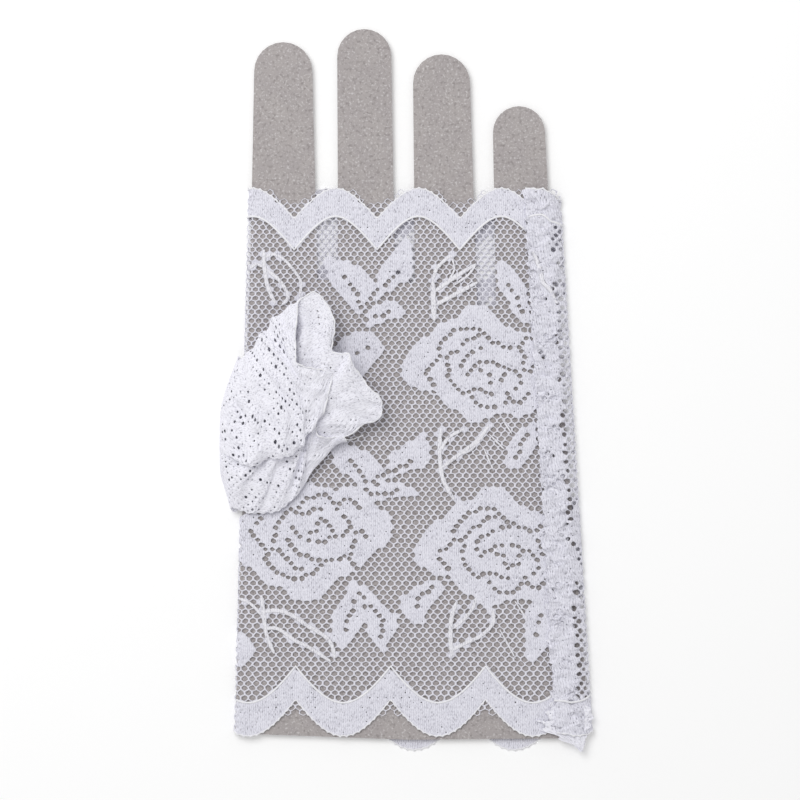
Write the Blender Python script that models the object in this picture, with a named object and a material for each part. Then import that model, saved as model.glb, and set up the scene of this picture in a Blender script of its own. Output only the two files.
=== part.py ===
"""A fingerless lace wedding glove, lying palm down on its chipboard display card.

Metres, +Z up, +Y towards the fingertips. The thumb side is at -X, and the sleeve for the thumb
is folded over onto the back of the hand. The palm lace rests on z = 0.
"""
import math

import bmesh
import bpy
from mathutils import Vector

MM = 0.001

# Layers, from the bottom up
GAP = 0.3 * MM  # clearance between neighbours
LACE = 0.6 * MM  # thickness of a panel of lace, with its raised threads
CARD = 1.2 * MM  # thickness of the chipboard
PALM_Z = 0.0
CARD_Z = PALM_Z + LACE + GAP
BACK_Z = CARD_Z + CARD + GAP

# Hand lace: its left and right sides lean outwards from the fingers to the wrist
FINGER_Y = 58.6 * MM  # middle of the scallops at the fingers
WRIST_Y = -103.7 * MM  # middle of the scallops at the wrist
LEFT_X = (-51.2 * MM, -55.4 * MM)  # at the fingers, at the wrist
RIGHT_X = (49.2 * MM, 59.14 * MM)
SEAM_X = (37.6 * MM, 47.0 * MM)  # the line where the two ends of the lace are sewn together
FINGER_PITCH = 26.5 * MM  # one scallop
WRIST_PITCH = 30.4 * MM
FINGER_DEPTH = 9.8 * MM  # from a lobe's top to a notch
WRIST_DEPTH = 11.8 * MM
LOBE_AT_FINGERS = -23.0 * MM  # x of the middle of one lobe on the back
LOBE_AT_WRIST = -19.6 * MM
PALM_DROP = 4.6 * MM  # the palm side hangs this much lower at both ends
SCALLOP_STEPS = 10  # straight steps along one scallop

# Side seam
ALLOWANCE_WIDE = 7.0 * MM
ALLOWANCE_THICK = 1.2 * MM
ALLOWANCE_TAIL = -114.9 * MM  # the loose corner that hangs below the wrist edge
OVERLOCK_R = 0.5 * MM
EDGE_CORD_R = 0.3 * MM
EDGE_CORD_OUT = 1.1 * MM  # along Y from the lace to the middle of its edge cord, clear on a slope
RAISED_Z = BACK_Z + ALLOWANCE_THICK + GAP  # underside of what lies over the allowance
SHOULDER = ALLOWANCE_WIDE + 3 * OVERLOCK_R + GAP  # from the seam to past its overlock stitches

# Thumb sleeve
THUMB_AXIS = Vector((-58.0, 0.0, 4.6)) * MM  # a point on the fold line, which runs along Y
SLEEVE_WALL = 0.8 * MM
SLEEVE_AROUND = 32  # points round one section
SLEEVE_LOBES = 4  # scallops round its hem
HEM_LOBE_DEPTH = 3.0 * MM
# each station: share of the length, lower edge x y, upper edge x y, middle z, height (all mm)
SLEEVE_STATIONS = (
    (0.00, (-60.0, -33.5), (-59.6, 5.5), 4.6, 4.0),
    (0.15, (-48.5, -38.0), (-52.0, 11.5), 6.0, 5.2),
    (0.35, (-38.5, -36.5), (-44.5, 19.5), 7.4, 8.0),
    (0.55, (-31.0, -25.5), (-38.0, 25.8), 8.4, 10.0),
    (0.78, (-20.5, -16.0), (-33.5, 29.0), 8.6, 10.2),
    (1.00, (-9.0, -11.2), (-30.2, 30.0), 8.4, 9.6),
)

# Thumb hole: a half oval cut out of each panel at the left fold
HOLE_Y = (-40.0 * MM, 12.0 * MM)
HOLE_DEEP = 6.5 * MM
HOLE_STEPS = 12
HOLE_SEAM_R = 0.28 * MM

# Display card
CARD_Y = (-112.0 * MM, 40.0 * MM)  # wrist edge, and a line below the finger slots' mouths
CARD_LEFT = (-50.4 * MM, -55.2 * MM)  # at the fingers, at the wrist
CARD_RIGHT = (48.2 * MM, 58.4 * MM)
CORNER_R = 1.5 * MM
# each finger: x of its left and right side at the tip, at the foot, and y of its tip (mm)
FINGERS = (
    ((-49.1, -30.5), (-50.3, -28.9), 111.4),
    ((-22.5, -5.2), (-22.2, -4.0), 115.6),
    ((1.8, 20.0), (2.4, 22.3), 107.5),
    ((27.4, 44.0), (28.4, 46.3), 90.9),
)
SLOT_Y = (35.2, 34.2, 26.9)  # bottom of each slot between two fingers (mm)
TIP_STEPS = 12


def clear_scene():
    for obj in list(bpy.data.objects):
        bpy.data.objects.remove(obj)


def material(name, colour, roughness):
    mat = bpy.data.materials.new(name)
    mat.use_nodes = True
    shader = mat.node_tree.nodes["Principled BSDF"]
    shader.inputs["Base Color"].default_value = (*colour, 1.0)
    shader.inputs["Roughness"].default_value = roughness
    shader.inputs["Metallic"].default_value = 0.0
    return mat


def add_object(name, mesh, colour, roughness):
    obj = bpy.data.objects.new(name, mesh)
    bpy.context.collection.objects.link(obj)
    mesh.materials.append(material(name, colour, roughness))
    return obj


def body_from(name, bm, colour, roughness, origin=(0, 0, 0)):
    """Finishes a bmesh as a closed object with its origin at the given point."""
    bmesh.ops.remove_doubles(bm, verts=bm.verts, dist=1e-6)
    bmesh.ops.recalc_face_normals(bm, faces=bm.faces)
    bmesh.ops.translate(bm, verts=bm.verts, vec=-Vector(origin))
    mesh = bpy.data.meshes.new(name)
    bm.to_mesh(mesh)
    bm.free()
    obj = add_object(name, mesh, colour, roughness)
    obj.location = origin
    return obj


def slab(name, outline, bottom, thick, colour, roughness):
    """A flat plate with the given outline."""
    bm = bmesh.new()
    face = bm.faces.new([bm.verts.new((x, y, bottom)) for x, y in outline])
    raised = bmesh.ops.extrude_face_region(bm, geom=[face])["geom"]
    tops = [v for v in raised if isinstance(v, bmesh.types.BMVert)]
    bmesh.ops.translate(bm, verts=tops, vec=(0, 0, thick))
    return body_from(name, bm, colour, roughness)


def tube(name, points, radius, colour, roughness, closed=False, resolution=1):
    """A round thread along the given points."""
    curve = bpy.data.curves.new(name, "CURVE")
    curve.dimensions = "3D"
    spline = curve.splines.new("POLY")
    spline.points.add(len(points) - 1)
    for point, place in zip(spline.points, points):
        point.co = (*place, 1.0)
    spline.use_cyclic_u = closed
    curve.bevel_depth = radius
    curve.bevel_resolution = resolution
    curve.use_fill_caps = not closed
    return add_object(name, curve, colour, roughness)


def mix(a, b, share):
    return a + (b - a) * share


def down_glove(y):
    """0 at the fingers, 1 at the wrist."""
    return (FINGER_Y - y) / (FINGER_Y - WRIST_Y)


def side_x(ends, y):
    return mix(ends[0], ends[1], down_glove(y))


def scallop(x, lobe_at, pitch):
    """Round lobes that meet in sharp notches, from -0.5 in a notch to 0.5 on a lobe."""
    across = ((x - lobe_at) / pitch + 0.5) % 1.0 - 0.5
    return 0.5 - (2.0 * abs(across)) ** 1.6


class Edge:
    """One scalloped edge of the hand lace, on its back or, past the left fold, its palm side."""

    def __init__(self, end, y, lobe_at, pitch, depth, drop=0.0):
        self.end = end  # 0 at the fingers, 1 at the wrist
        self.y = y - drop
        self.lobe_at = lobe_at
        self.pitch = pitch
        self.depth = depth if end == 0 else -depth

    def at(self, x):
        return self.y + self.depth * scallop(x, self.lobe_at, self.pitch)

    def run(self, first, last, out=0.0):
        """Points along the edge, with one on each lobe and in each notch."""
        step = self.pitch / SCALLOP_STEPS
        low, high = min(first, last), max(first, last)
        start = math.ceil((low - self.lobe_at) / step)
        stop = math.floor((high - self.lobe_at) / step)
        xs = [self.lobe_at + i * step for i in range(start, stop + 1)]
        xs = [low] + [x for x in xs if low + step / 9 < x < high - step / 9] + [high]
        away = math.copysign(out, self.depth)
        return [(x, self.at(x) + away) for x in (xs if first < last else xs[::-1])]


def past_fold(lobe_at, left):
    """Where the lobes fall on the palm, as the lace goes on round the left fold."""
    return 2 * left - lobe_at


def hand_edges(end):
    """The edge on the back and the edge on the palm, at the fingers or at the wrist."""
    y = (FINGER_Y, WRIST_Y)[end]
    lobe_at = (LOBE_AT_FINGERS, LOBE_AT_WRIST)[end]
    pitch = (FINGER_PITCH, WRIST_PITCH)[end]
    depth = (FINGER_DEPTH, WRIST_DEPTH)[end]
    back = Edge(end, y, lobe_at, pitch, depth)
    palm = Edge(end, y, past_fold(lobe_at, LEFT_X[end]), pitch, depth, PALM_DROP)
    return back, palm


def steps_between(first, last, step):
    count = max(2, math.ceil(abs(last - first) / step))
    return [mix(first, last, i / count) for i in range(count + 1)]


def hole_curve(inset):
    """The thumb hole's edge on one panel, from its upper end to its lower end."""
    middle = (HOLE_Y[0] + HOLE_Y[1]) / 2
    half = (HOLE_Y[1] - HOLE_Y[0]) / 2 - 1.5 * inset
    points = []
    for i in range(HOLE_STEPS + 1):
        turn = math.pi * i / HOLE_STEPS
        y = middle + half * math.cos(turn)
        points.append((side_x(LEFT_X, y) + (HOLE_DEEP - inset) * math.sin(turn), y))
    return points


def panel_outline(finger_edge, wrist_edge, right_ends):
    """Counter-clockwise outline of a panel from the left fold to the given right side."""
    outline = wrist_edge.run(LEFT_X[1], right_ends[1])
    outline += finger_edge.run(right_ends[0], LEFT_X[0])
    return outline + hole_curve(0.0)


WHITE = (0.82, 0.82, 0.88)


def make_hand_lace():
    (finger_back, finger_palm), (wrist_back, wrist_palm) = hand_edges(0), hand_edges(1)
    seam_side = (SEAM_X[0] - GAP, SEAM_X[1] - GAP)
    outline = panel_outline(finger_back, wrist_back, seam_side)
    slab("lace_back_of_hand", outline, BACK_Z, LACE, WHITE, 0.8)
    outline = panel_outline(finger_palm, wrist_palm, RIGHT_X)
    slab("lace_palm", outline, PALM_Z, LACE, WHITE, 0.8)


def make_side_return():
    """The far end of the hand lace, which rides up over the seam allowance."""
    bm = bmesh.new()
    rows = []
    for end in (0, 1):
        edge = hand_edges(end)[0]
        seam, right = SEAM_X[end], RIGHT_X[end]
        profile = [(x, RAISED_Z) for x in steps_between(seam, seam + SHOULDER, 1.3 * MM)]
        profile += [(seam + SHOULDER + LACE + 2 * GAP, BACK_Z), (right, BACK_Z)]
        under = [bm.verts.new((x, edge.at(x), z)) for x, z in profile]
        over = [bm.verts.new((x, edge.at(x), z + LACE)) for x, z in profile]
        rows.append(under + over[::-1])
    count = len(rows[0])
    for i in range(count):
        j = (i + 1) % count
        bm.faces.new((rows[0][i], rows[0][j], rows[1][j], rows[1][i]))
    half = count // 2
    for row in rows:
        for i in range(half - 1):
            bm.faces.new((row[i], row[i + 1], row[count - 2 - i], row[count - 1 - i]))
    body_from("lace_side_return", bm, WHITE, 0.8)


def make_side_seam():
    def allowance_right(y):
        return side_x(SEAM_X, y) + ALLOWANCE_WIDE

    top = FINGER_Y - FINGER_DEPTH * 0.3
    low = WRIST_Y - WRIST_DEPTH * 0.2
    tail_x = allowance_right(low)
    outline = [
        (side_x(SEAM_X, top) + GAP, top),
        (side_x(SEAM_X, low) + GAP, low),
        (tail_x - 0.5 * MM, ALLOWANCE_TAIL),
        (tail_x + 1.5 * MM, ALLOWANCE_TAIL + 1.0 * MM),
        (tail_x, low),
        (allowance_right(top), top),
    ]
    slab("side_seam_allowance", outline, BACK_Z, ALLOWANCE_THICK, WHITE, 0.8)
    beside = GAP + OVERLOCK_R
    z = BACK_Z + OVERLOCK_R
    points = [(allowance_right(y) + beside, y, z) for y in steps_between(top, low, 30 * MM)]
    tube("side_seam_overlock", points, OVERLOCK_R, (0.9, 0.9, 0.95), 0.5, resolution=2)


def make_edge_cord(name, end):
    """One cord right round the glove along its scallops, over the back and under the palm."""
    back_edge, palm_edge = hand_edges(end)
    left = LEFT_X[end] - GAP - EDGE_CORD_R
    right = RIGHT_X[end] + GAP + EDGE_CORD_R
    over_seam = SEAM_X[end] - WRIST_PITCH / SCALLOP_STEPS - GAP
    points = []
    for x, y in back_edge.run(left, right, EDGE_CORD_OUT):
        points.append((x, y, (RAISED_Z if x > over_seam else BACK_Z) + EDGE_CORD_R))
    for x, y in palm_edge.run(right, left, EDGE_CORD_OUT):
        points.append((x, y, PALM_Z + EDGE_CORD_R))
    tube(name, points, EDGE_CORD_R, (0.9, 0.9, 0.95), 0.5, closed=True)


def sleeve_at(share):
    """Lower end, upper end, middle height and height of the sleeve's section, in metres."""
    stations = SLEEVE_STATIONS
    for (s0, lo0, up0, z0, h0), (s1, lo1, up1, z1, h1) in zip(stations, stations[1:]):
        if share <= s1 or s1 == stations[-1][0]:
            t = (share - s0) / (s1 - s0)
            lower = Vector(lo0).lerp(Vector(lo1), t) * MM
            upper = Vector(up0).lerp(Vector(up1), t) * MM
            return lower, upper, mix(z0, z1, t) * MM, mix(h0, h1, t) * MM


def sleeve_ring(share, inset):
    """One section through the sleeve, its outside at inset 0. Its hem end is scalloped."""
    lower, upper, z, height = sleeve_at(share)
    middle = (lower + upper) / 2
    half = (upper - lower) / 2
    along = Vector((half.y, -half.x)).normalized()
    flat = half.normalized() * (half.length - inset)
    ring = []
    for i in range(SLEEVE_AROUND):
        turn = 2 * math.pi * i / SLEEVE_AROUND
        lobe = abs(math.cos(SLEEVE_LOBES * turn / 2)) ** 0.8 - 0.5
        reach = HEM_LOBE_DEPTH * lobe * max(0.0, (share - 0.8) / 0.2)
        place = middle + flat * math.cos(turn) + along * reach
        ring.append(Vector((place.x, place.y, z + (height / 2 - inset) * math.sin(turn))))
    return ring


def make_thumb_sleeve():
    shares = (0.0, 0.08, 0.15, 0.25, 0.35, 0.45, 0.55, 0.67, 0.78, 0.9, 1.0)
    bm = bmesh.new()
    outer = [[bm.verts.new(p) for p in sleeve_ring(s, 0.0)] for s in shares]
    inner = [[bm.verts.new(p) for p in sleeve_ring(s, SLEEVE_WALL)] for s in shares]
    loops = outer + inner[::-1]
    for one, two in zip(loops, loops[1:] + loops[:1]):
        for i in range(SLEEVE_AROUND):
            j = (i + 1) % SLEEVE_AROUND
            bm.faces.new((one[i], one[j], two[j], two[i]))
    body_from("thumb_sleeve", bm, WHITE, 0.8, THUMB_AXIS)


def make_thumb_seams():
    inside = SLEEVE_WALL + GAP + OVERLOCK_R + 1.0 * MM
    seam = []
    for share in (0.06, 0.15, 0.25, 0.35, 0.45, 0.55, 0.67, 0.78, 0.92):
        lower, upper, z, _ = sleeve_at(share)
        place = lower + (upper - lower).normalized() * inside
        seam.append((place.x, place.y, z))
    moved(tube("thumb_sleeve_seam", seam, OVERLOCK_R, (0.9, 0.9, 0.95), 0.5, resolution=2))

    middle = (SLEEVE_WALL - EDGE_CORD_R) / 2
    lower, upper, _, _ = sleeve_at(1.0)
    across = (upper - lower).normalized()
    out = Vector((across.y, -across.x, 0)) * (GAP + EDGE_CORD_R)
    hem = [p + out for p in sleeve_ring(1.0, middle)]
    moved(tube("thumb_hem_cord", hem, EDGE_CORD_R, (0.9, 0.9, 0.95), 0.5, closed=True))

    back_z = BACK_Z + HOLE_SEAM_R
    palm_z = PALM_Z + HOLE_SEAM_R
    inset = GAP + HOLE_SEAM_R
    curve = hole_curve(inset)
    upper, lower = [(x - 2 * inset, y) for x, y in (curve[0], curve[-1])]
    loop = [(x, y, back_z) for x, y in curve]
    loop += [(*lower, back_z), (*lower, palm_z)]
    loop += [(x, y, palm_z) for x, y in reversed(curve)]
    loop += [(*upper, palm_z), (*upper, back_z)]
    tube("thumb_hole_seam", loop, HOLE_SEAM_R, (0.9, 0.9, 0.95), 0.5, closed=True)


def moved(obj):
    """Puts a thread's origin on the fold line that it turns about."""
    for spline in obj.data.splines:
        for point in spline.points:
            point.co = (*(point.co.xyz - THUMB_AXIS), 1.0)
    obj.location = THUMB_AXIS


def finger_outline(finger, foot_right, foot_left):
    """One finger, from the foot of its right side over its round tip to the left foot."""
    tip, foot, tip_y = finger
    radius = (tip[1] - tip[0]) / 2
    centre = ((tip[0] + tip[1]) / 2, tip_y - radius)
    points = [(foot[1], foot_right)]
    for i in range(TIP_STEPS + 1):
        turn = math.pi * i / TIP_STEPS
        points.append((centre[0] + radius * math.cos(turn), centre[1] + radius * math.sin(turn)))
    points.append((foot[0], foot_left))
    return points


def make_card():
    foot_y = CARD_Y[1] / MM
    low_y = CARD_Y[0] / MM
    left, right = CARD_LEFT[1] / MM, CARD_RIGHT[1] / MM
    corner = CORNER_R / MM
    outline = [(left, low_y + 2 + corner), (left + corner, low_y + 2), (0, low_y)]
    outline += [(right - corner, low_y + 0.5), (right, low_y + 0.5 + corner)]
    feet = [foot_y] + [y for y in reversed(SLOT_Y) for _ in range(2)] + [foot_y]
    for i, finger in enumerate(reversed(FINGERS)):
        outline += finger_outline(finger, feet[2 * i], feet[2 * i + 1])
    outline = [(x * MM, y * MM) for x, y in outline]
    slab("card_insert", outline, CARD_Z, CARD, (0.42, 0.39, 0.38), 0.9)


clear_scene()
make_card()
make_hand_lace()
make_side_return()
make_side_seam()
make_edge_cord("finger_edge_cord", 0)
make_edge_cord("wrist_edge_cord", 1)
make_thumb_sleeve()
make_thumb_seams()
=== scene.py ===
"""Looks of the fingerless lace wedding glove on its chipboard display hand."""
import math

import bpy
import numpy as np
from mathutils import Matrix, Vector


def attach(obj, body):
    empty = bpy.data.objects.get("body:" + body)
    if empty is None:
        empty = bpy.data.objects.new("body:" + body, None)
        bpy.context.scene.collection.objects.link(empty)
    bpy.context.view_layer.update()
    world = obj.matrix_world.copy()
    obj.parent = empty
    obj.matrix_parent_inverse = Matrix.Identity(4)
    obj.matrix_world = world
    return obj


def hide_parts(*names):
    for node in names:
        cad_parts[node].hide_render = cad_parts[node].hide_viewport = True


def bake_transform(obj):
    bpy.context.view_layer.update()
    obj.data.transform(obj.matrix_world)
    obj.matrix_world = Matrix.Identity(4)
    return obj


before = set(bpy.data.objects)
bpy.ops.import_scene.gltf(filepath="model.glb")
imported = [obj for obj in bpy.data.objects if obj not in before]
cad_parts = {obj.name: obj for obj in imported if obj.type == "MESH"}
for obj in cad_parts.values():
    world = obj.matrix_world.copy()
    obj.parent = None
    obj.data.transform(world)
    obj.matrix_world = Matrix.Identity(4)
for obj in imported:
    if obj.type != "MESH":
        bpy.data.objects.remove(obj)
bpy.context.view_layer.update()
MM = 0.001

# ---------------- display card
# The real card is a hand die-cut from uncoated recycled greyboard, 1.2 mm thick. Its grey faces
# are flecked with darker and lighter fibres, and its cut edges are a little paler and rougher.
CARD_GREY = (0.405, 0.372, 0.372)
CARD_WARM = (0.435, 0.402, 0.396)
CARD_DARK = (0.24, 0.215, 0.212)
CARD_LIGHT = (0.68, 0.66, 0.66)


def new_material(name, roughness):
    mat = bpy.data.materials.new(name)
    mat.use_nodes = True
    shader = mat.node_tree.nodes["Principled BSDF"]
    shader.inputs["Roughness"].default_value = roughness
    return mat, mat.node_tree, shader


def add_node(tree, kind, links=(), **values):
    """Adds a node, sets its properties and sockets, and links other nodes' outputs to it."""
    node = tree.nodes.new(kind)
    for key, value in values.items():
        if hasattr(node, key):
            setattr(node, key, value)
        else:
            node.inputs[key.replace("_", " ")].default_value = value
    for socket, output in links:
        tree.links.new(output, node.inputs[socket])
    return node


def two_colours(tree, factor, first, second):
    mix = tree.nodes.new("ShaderNodeMix")
    mix.data_type = "RGBA"
    tree.links.new(factor, mix.inputs[0])
    for socket, colour in ((mix.inputs[6], first), (mix.inputs[7], second)):
        if isinstance(colour, tuple):
            socket.default_value = (*colour, 1.0)
        else:
            tree.links.new(colour, socket)
    return mix.outputs[2]


def stretch(tree, value, low, high, to_low=0.0, to_high=1.0):
    node = add_node(tree, "ShaderNodeMapRange", [(0, value)])
    for i, number in enumerate((low, high, to_low, to_high)):
        node.inputs[i + 1].default_value = number
    return node.outputs[0]


def layered(tree, colour, layers):
    """Lays more colours over one, each as strongly as its texture says."""
    for value, low, high, to_low, to_high, over in layers:
        colour = two_colours(tree, stretch(tree, value, low, high, to_low, to_high), colour, over)
    return colour


def noise(tree, place, scale, detail):
    return add_node(tree, "ShaderNodeTexNoise", [(0, place)], Scale=scale, Detail=detail).outputs[0]


def add_bump(tree, shader, height, strength, distance):
    bump = add_node(tree, "ShaderNodeBump", [("Height", height)], Strength=strength, Distance=distance)
    tree.links.new(bump.outputs[0], shader.inputs["Normal"])


def make_greyboard():
    mat, tree, shader = new_material("greyboard", 0.93)
    place = tree.nodes.new("ShaderNodeTexCoord").outputs["Object"]
    pulp = noise(tree, place, 160.0, 5.0)
    grain = noise(tree, place, 1500.0, 3.0)
    flecks = add_node(tree, "ShaderNodeTexVoronoi", [(0, place)], Scale=620.0).outputs[0]
    fibres = noise(tree, place, 900.0, 1.0)
    colour = layered(tree, CARD_GREY, [(pulp, 0.35, 0.65, 0.0, 1.0, CARD_WARM),
                                       (grain, 0.54, 0.70, 0.0, 0.7, CARD_LIGHT),
                                       (fibres, 0.54, 0.72, 0.0, 0.6, CARD_DARK),
                                       (flecks, 0.10, 0.20, 0.5, 0.0, CARD_DARK)])
    tree.links.new(colour, shader.inputs["Base Color"])
    add_bump(tree, shader, grain, 0.35, 0.0002)
    return mat


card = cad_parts["card_insert"]
card.data.materials.clear()
card.data.materials.append(make_greyboard())

# ---------------- lace pattern
# The real fabric is one length of warp-knitted galloon lace: a hexagonal net, closed where its
# roses, leaves and scalloped borders are worked, with rows of open eyelets between the petals.
# It is laid out flat here in millimetres, as it lies on the back of the hand.
CELLS = 12  # cells of net in one scallop
ROWS = 119  # rows of cells from the fingers to the wrist
REPEAT = 4 * CELLS  # the pattern comes again after four scallops
FIRST_CELL = -15  # where a repeat starts
FINGER_Y, WRIST_Y = 64.6, -110.9  # the first and the last row
LOBE_X = (-23.0, -20.6)  # middle of one lobe, at the fingers and at the wrist
PITCH = (26.5, 30.4)  # one scallop, at the fingers and at the wrist
ROW_STRETCH = 0.054  # rows lie further apart towards the wrist
SPECKLED = 0.26  # share of closed cells with a pinhole in them
NET_HALF = 0.15  # half the height of a net thread
PLY_HALF = 0.17  # half the height of a closed cell


def flat_place(cell, row):
    """Where a cell and row of the fabric lie on the flat lace, in mm."""
    t = row / ROWS
    lobe = LOBE_X[0] + (LOBE_X[1] - LOBE_X[0]) * t
    pitch = PITCH[0] + (PITCH[1] - PITCH[0]) * t
    down = (1 - ROW_STRETCH) * t + ROW_STRETCH * t * t
    return np.stack([lobe + pitch * cell / CELLS, FINGER_Y + (WRIST_Y - FINGER_Y) * down], -1)


def smooth(points, closed=True, steps=5):
    """A Catmull-Rom curve through a few points."""
    p = np.array(points, float)
    n = len(p)
    i = np.arange(n if closed else n - 1)
    a, b, c, d = (p[(i + k) % n if closed else np.clip(i + k, 0, n - 1)][:, None] for k in (-1, 0, 1, 2))
    t = (np.arange(steps) / steps)[:, None]
    out = 0.5 * (2 * b + (c - a) * t + (2 * a - 5 * b + 4 * c - d) * t * t
                 + (3 * b - a - 3 * c + d) * t**3).reshape(-1, 2)
    return out if closed else np.concatenate([out, p[-1:]])


# A rose, as an outline and the rows of eyelets between its petals
ROSE = [
    (-27.5, 2.1), (-23.7, 10.6), (-18.7, 13.8), (-14.7, 18), (-8.6, 20), (-7.2, 23),
    (-0.7, 23.4), (2.4, 20.9), (5.6, 17.4), (9.6, 15.5), (13.3, 14.2), (15.5, 10.8), (20.5, 6.4),
    (23.7, 1.8), (23.7, -0.8), (21.1, -4.2), (17.5, -7), (15.4, -10.2), (9.6, -12.3),
    (5.8, -10.6), (1.2, -12), (-5, -13.9), (-9.3, -10.2), (-13.1, -8.6), (-16.7, -4.5),
    (-21.3, -3.5), (-24.3, -1.9),
]
ROSE_EYELETS = [
    [(-10.2, 15.4), (-5.4, 16.6), (-0.6, 14.4), (3.2, 11.5), (9.6, 9.9), (13.1, 13.1)],
    [(-10.2, 15.4), (-15.4, 10.9), (-14.9, 7.4), (-19.2, 3.2)],
    [(-19.6, 1.8), (-17, -1.9), (-17, -4)],
    [(-14.9, 7.4), (-12.8, 7), (-9, 10.2), (-6.1, 12.8), (-2.6, 14)],
    [(-12.3, 4.8), (-12.4, 1.4), (-11.5, -1), (-8, -4.5), (-4.2, -3.4), (1.3, -4.8)],
    [(-8.3, 4.2), (-6.9, 7.2), (-2.2, 9.9), (3.2, 11.5)],
    [(-6.8, 1.2), (-3.5, 4.4), (2.6, 5.4), (5.2, 3.6), (7.4, 3.4), (10.4, 0.6)],
    [(10.8, -1.2), (8.6, -3.4), (6.7, -4.6)],
    [(-1.6, 2.9), (0.3, 1), (1.6, -1.9), (4.5, -0.3), (5.1, 1.5)],
    [(-4.8, -5.8), (-2.6, -8.4), (3.5, -9.2), (6.7, -6.4), (10.2, -8), (13.4, -5.4)],
    [(10.9, 9), (12.2, 3.2), (13.8, 1.9), (15, 3.6)],
]
# where each rose sits, its scale along x and y, the second one below the first, the third flipped
ROSES = [(25.5, 3.5, 1, 1), (30.7, -55.2, 1.04, 1.04), (-29.4, -43.2, 1.04, -1.04)]

# Leaves: an outline and the eyelets along the midrib
SPRAY = [
    ([(-26, 42.2), (-22.2, 41.9), (-17.2, 40.2), (-12.3, 36.5), (-10.4, 33.6), (-11.8, 31),
      (-15.2, 24.6), (-18.8, 27.5), (-22.9, 31.2), (-24.8, 34.5), (-26.4, 40)], [(-19.8, 35.8),
      (-18, 32.8), (-15.8, 28.8), (-15.2, 26.6)]),
    ([(-0.8, 48.6), (-5.9, 43), (-9.1, 38.9), (-9.9, 34.9), (-14.9, 25.4), (-11.5, 27.9), (-5.9, 31.7),
      (-0.4, 35.2), (1.4, 37.3), (2, 42.6), (0.6, 47.5)], [(-3, 37.6), (-8.8, 32.2), (-11.3, 30),
      (-13, 27.6)]),
    ([(0.3, 24.6), (-4.2, 27.9), (-7.8, 27.9), (-11.5, 26.2), (-15.4, 21.9), (-11.5, 20.5),
      (-5.8, 22.6), (-1.7, 23.8)], [(-5.6, 25), (-9.1, 24), (-13.2, 22.8)]),
]
LEAVES = [
    ([(-15.4, 18.6), (-10.7, 18.1), (-8.3, 14.8), (-7.8, 12), (-11.5, 7.9), (-15, 4.2),
      (-22, 5), (-24, 12), (-20, 17)], [(-12, 13.5), (-16, 11.5)]),
    ([(-16.4, -60.8), (-18.4, -62.6), (-23, -70.6), (-24.2, -76.5), (-23.2, -81),
      (-20.6, -83.4), (-17.2, -79.4), (-14.8, -75.6), (-13.6, -71.6), (-14.8, -64)],
     [(-15.8, -65.5), (-17.4, -69.4), (-18.9, -72.9), (-19.4, -76.4)]),
    ([(-14.3, -61.1), (-11.3, -65.5), (-5.8, -70.3), (-3.3, -73.9), (-5, -79.5), (-8.2, -83.9),
      (-10.8, -80.2), (-12.9, -76), (-13.2, -70.5)],
     [(-12, -69), (-10, -71), (-8, -73.6), (-7.7, -76.2), (-8.6, -79)]),
    ([(11.1, -61.4), (11.9, -63.6), (9.9, -66.8), (6.6, -70.1), (5.3, -74.6), (3.7, -75.4),
      (0.1, -73.8), (-2, -70.4), (-2.2, -67), (1.7, -63.6), (6.6, -61.1)],
     [(7.6, -62.7), (6.2, -64.8), (3.9, -66.6), (2.6, -69)]),
    ([(45, -67.2), (38.8, -69), (37.6, -77), (38.1, -86.7), (43, -84), (47.5, -78),
      (49, -70)], [(42.6, -72), (41.6, -78)]),
    ([(40.5, -9.6), (37.3, -12.2), (33.6, -16), (31.7, -20), (31.9, -24.4), (34.6, -25),
      (38.2, -22), (41.4, -16.6)], [(38.4, -14.6), (36, -18.4), (34.2, -21.6)]),
    ([(28.6, 41.2), (33, 39.9), (37, 33.8), (39.2, 27.2), (39.3, 21.4), (36, 23),
      (32, 28.8), (28.8, 35)], [(32.5, 33.6), (34.7, 29.5), (36.6, 25.2)]),
    ([(-57, -77), (-52.6, -78.2), (-49.6, -81), (-50, -85.6), (-53, -88.2),
      (-57, -87)], []),
]
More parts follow.
